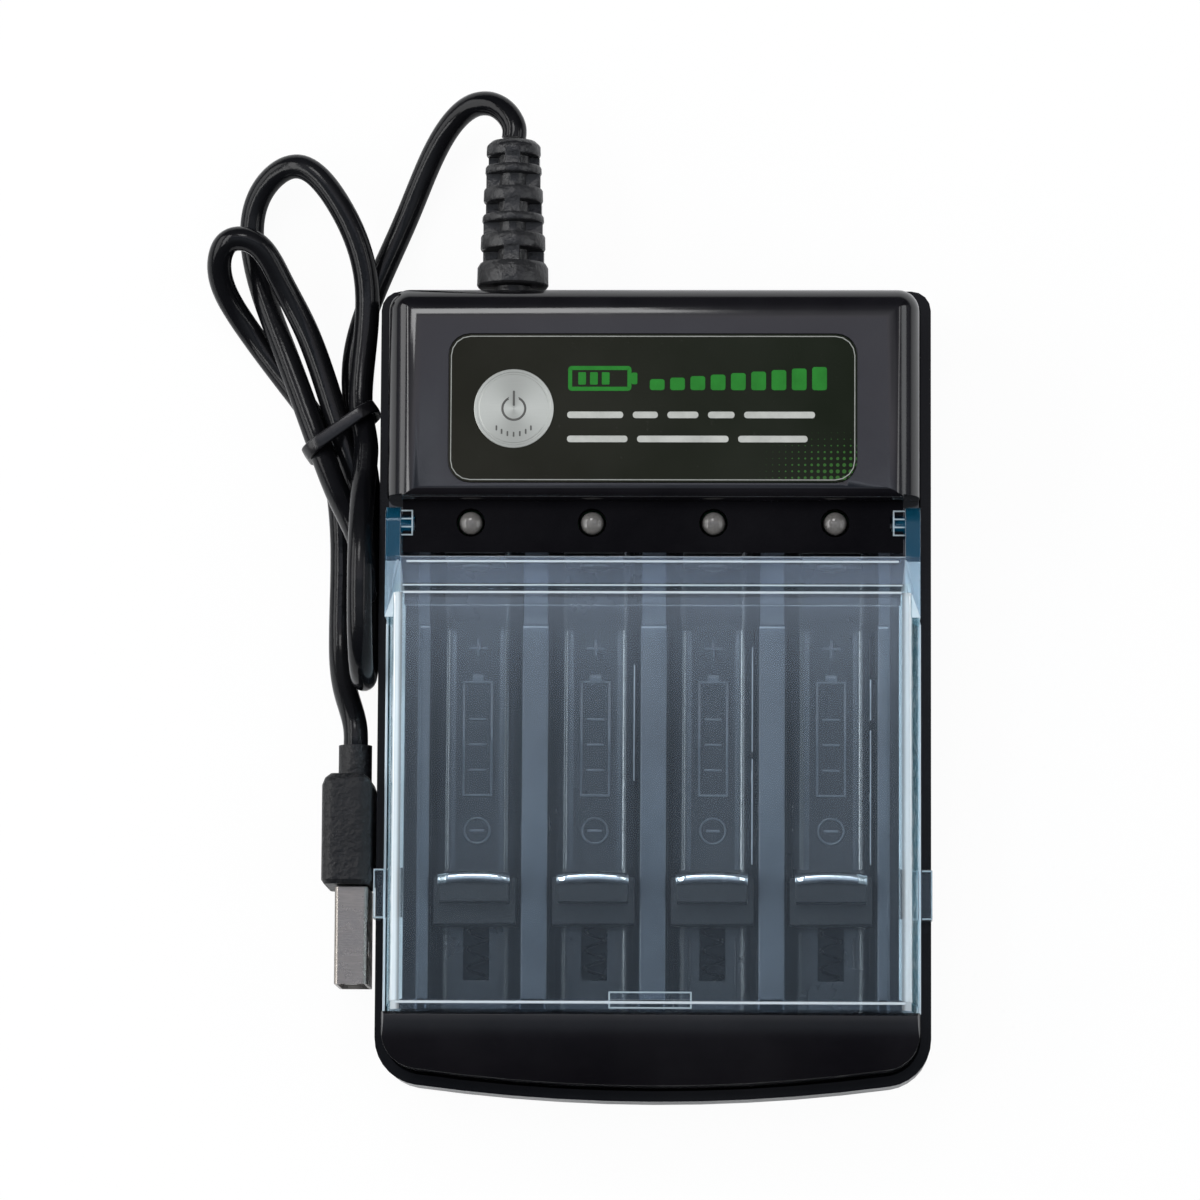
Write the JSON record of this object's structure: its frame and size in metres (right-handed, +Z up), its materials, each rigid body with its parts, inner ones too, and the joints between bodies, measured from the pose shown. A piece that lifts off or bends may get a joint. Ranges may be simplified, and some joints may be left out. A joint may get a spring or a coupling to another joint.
{
  "type": "battery charger",
  "caption": "Flat desktop charger for AA and AAA cells with a clear hinged lid, sliding spring contacts, indicator lights and a tied cord with a plug.",
  "frame": {"origin": "centre of the case's footprint on the table, under the rubber feet", "axes": "+X right seen from the front, +Y towards the head end with the label and the cord, +Z up"},
  "size_m": [0.1007, 0.1398, 0.027],
  "materials": {
    "shell_black": "gloss",
    "base_black": "gloss",
    "label_dark": "satin print",
    "clear_lid": "clear moulded plastic",
    "contact_metal": "nickel plated sheet",
    "board_green": "solder mask",
    "chip_black": "matt",
    "ferrite": "matt",
    "capacitor_can": "satin",
    "wire_black": "insulation",
    "wire_red": "insulation",
    "relief_black": "matt",
    "cord_black": "satin jacket",
    "tie_black": "satin",
    "grip_black": "satin",
    "plug_nickel": "nickel plated",
    "tongue_white": "satin",
    "led_lens": "diffused lens",
    "slider_plastic": "satin",
    "spring_steel": "bright wire",
    "screw_steel": "zinc plated",
    "foot_rubber": "matt"
  },
  "bodies": {
    "housing": {"capacitor_1": "capacitor_can", "capacitor_2": "capacitor_can", "case_screw_1": "screw_steel", "case_screw_2": "screw_steel", "case_screw_3": "screw_steel", "case_screw_4": "screw_steel", "circuit_board": "board_green", "controller_chip": "chip_black", "cord": "cord_black", "cord_tie": "tie_black", "foot_1": "foot_rubber", "foot_2": "foot_rubber", "foot_3": "foot_rubber", "foot_4": "foot_rubber", "ground_wire": "wire_black", "inductor": "ferrite", "label_plate": "label_dark", "lead_black": "wire_black", "lead_red": "wire_red", "led_1": "led_lens", "led_2": "led_lens", "led_3": "led_lens", "led_4": "led_lens", "lower_shell": "base_black", "negative_bus": "contact_metal", "plug_overmould": "grip_black", "plug_shell": "plug_nickel", "plug_tongue": "tongue_white", "positive_contact_1": "contact_metal", "positive_contact_2": "contact_metal", "positive_contact_3": "contact_metal", "positive_contact_4": "contact_metal", "return_spring_1": "spring_steel", "return_spring_2": "spring_steel", "return_spring_3": "spring_steel", "return_spring_4": "spring_steel", "strain_relief": "relief_black", "upper_shell": "shell_black"},
    "lid": {"lid": "clear_lid"},
    "slider_1": {"slider_block_1": "slider_plastic", "negative_contact_1": "contact_metal"},
    "slider_2": {"slider_block_2": "slider_plastic", "negative_contact_2": "contact_metal"},
    "slider_3": {"slider_block_3": "slider_plastic", "negative_contact_3": "contact_metal"},
    "slider_4": {"slider_block_4": "slider_plastic", "negative_contact_4": "contact_metal"}
  },
  "joints": [
    {"name": "lid_hinge", "type": "hinge", "parent": "housing", "child": "lid", "pos_m": [0, 0.0219, 0.0218], "axis": [-1, 0, 0], "range_deg": [0, 95]},
    {"name": "slider_1_travel", "type": "slide", "parent": "housing", "child": "slider_1", "axis": [0, -1, 0], "range_m": [0, 0.0085], "stiffness_N_per_m": 100, "springref_m": -0.006, "deforming": ["return_spring_1"]},
    {"name": "slider_2_travel", "type": "slide", "parent": "housing", "child": "slider_2", "axis": [0, -1, 0], "range_m": [0, 0.0085], "stiffness_N_per_m": 100, "springref_m": -0.006, "deforming": ["return_spring_2"]},
    {"name": "slider_3_travel", "type": "slide", "parent": "housing", "child": "slider_3", "axis": [0, -1, 0], "range_m": [0, 0.0085], "stiffness_N_per_m": 100, "springref_m": -0.006, "deforming": ["return_spring_3"]},
    {"name": "slider_4_travel", "type": "slide", "parent": "housing", "child": "slider_4", "axis": [0, -1, 0], "range_m": [0, 0.0085], "stiffness_N_per_m": 100, "springref_m": -0.006, "deforming": ["return_spring_4"]}
  ]
}
